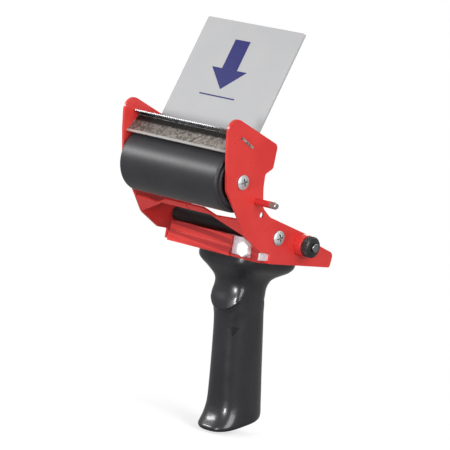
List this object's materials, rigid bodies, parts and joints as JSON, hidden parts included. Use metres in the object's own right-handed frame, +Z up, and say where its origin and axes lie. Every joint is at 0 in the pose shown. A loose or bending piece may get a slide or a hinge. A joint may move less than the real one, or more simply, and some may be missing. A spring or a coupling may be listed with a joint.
{
  "type": "tape gun dispenser",
  "caption": "Hand-held tape gun: steel side plates on a pistol grip, rubber press roller, guide roller, toothed blade, sprung wiper flap and knurled tension knob.",
  "frame": {"origin": "centre of the cross hole through both side plates, in the middle plane between them", "axes": "+X along the cross hole towards the left side plate and its knob, +Y rearwards, +Z up, square to the base plate and away from the grip"},
  "size_m": [0.1066, 0.1057, 0.2405],
  "materials": {
    "red_paint": "satin enamel",
    "zinc_plate": "mottled zinc plate",
    "bright_steel": "bright",
    "blade_steel": "ground",
    "spring_steel": "drawn wire",
    "screw_zinc": "zinc plate",
    "wiper_plastic": "smooth",
    "roller_rubber": "satin",
    "black_plastic": "satin",
    "knob_plastic": "knurled",
    "insert_brass": "turned",
    "grip_plastic": "moulded satin gloss"
  },
  "bodies": {
    "frame": {"side_plate_left": "red_paint", "side_plate_right": "red_paint", "base_plate": "red_paint", "stud_pin": "red_paint", "slide_bar": "zinc_plate", "slide_bolt": "bright_steel", "slide_washer": "bright_steel", "blade_bracket": "zinc_plate", "blade": "blade_steel", "blade_screws": "bright_steel", "wiper_rod": "bright_steel", "wiper_springs": "spring_steel", "press_axle": "bright_steel", "press_screws": "screw_zinc", "guide_axle": "bright_steel", "guide_screws": "screw_zinc", "tail_rod": "bright_steel", "tail_spacer": "zinc_plate", "tail_boss": "red_paint", "tail_washer": "screw_zinc", "tail_nut": "screw_zinc", "grip": "grip_plastic", "grip_bolt": "screw_zinc", "grip_washer": "screw_zinc", "grip_nut": "screw_zinc"},
    "press_roller": {"press_sleeve": "roller_rubber", "press_core": "bright_steel", "press_bushes": "black_plastic"},
    "guide_roller": {"guide_sleeve": "black_plastic"},
    "wiper": {"wiper_plate": "wiper_plastic", "wiper_leaf": "zinc_plate", "wiper_rivets": "bright_steel"},
    "knob_carrier": {"knob_insert": "insert_brass"},
    "knob": {"knob": "knob_plastic"}
  },
  "joints": [
    {"name": "press_spin", "type": "hinge", "parent": "frame", "child": "press_roller", "pos_m": [0, -0.0206, 0.0177], "axis": [1, 0, 0], "continuous": true},
    {"name": "guide_spin", "type": "hinge", "parent": "frame", "child": "guide_roller", "pos_m": [0, 0.0169, -0.0123], "axis": [1, 0, 0], "continuous": true},
    {"name": "wiper_swing", "type": "hinge", "parent": "frame", "child": "wiper", "pos_m": [0, -0.01505, 0.0415], "axis": [1, 0, 0], "range_deg": [-40, 0], "deforming": ["wiper_springs"]},
    {"name": "knob_travel", "type": "slide", "parent": "frame", "child": "knob_carrier", "axis": [1, 0, 0], "range_m": [0, 0.0016]},
    {"name": "knob_turn", "type": "hinge", "parent": "knob_carrier", "child": "knob", "pos_m": [0, 0.0373, -0.0153], "axis": [1, 0, 0], "range_deg": [0, 720]}
  ],
  "couplings": [
    {"joint": "knob_turn", "follows": "knob_travel", "rad_per_m": 7854}
  ]
}
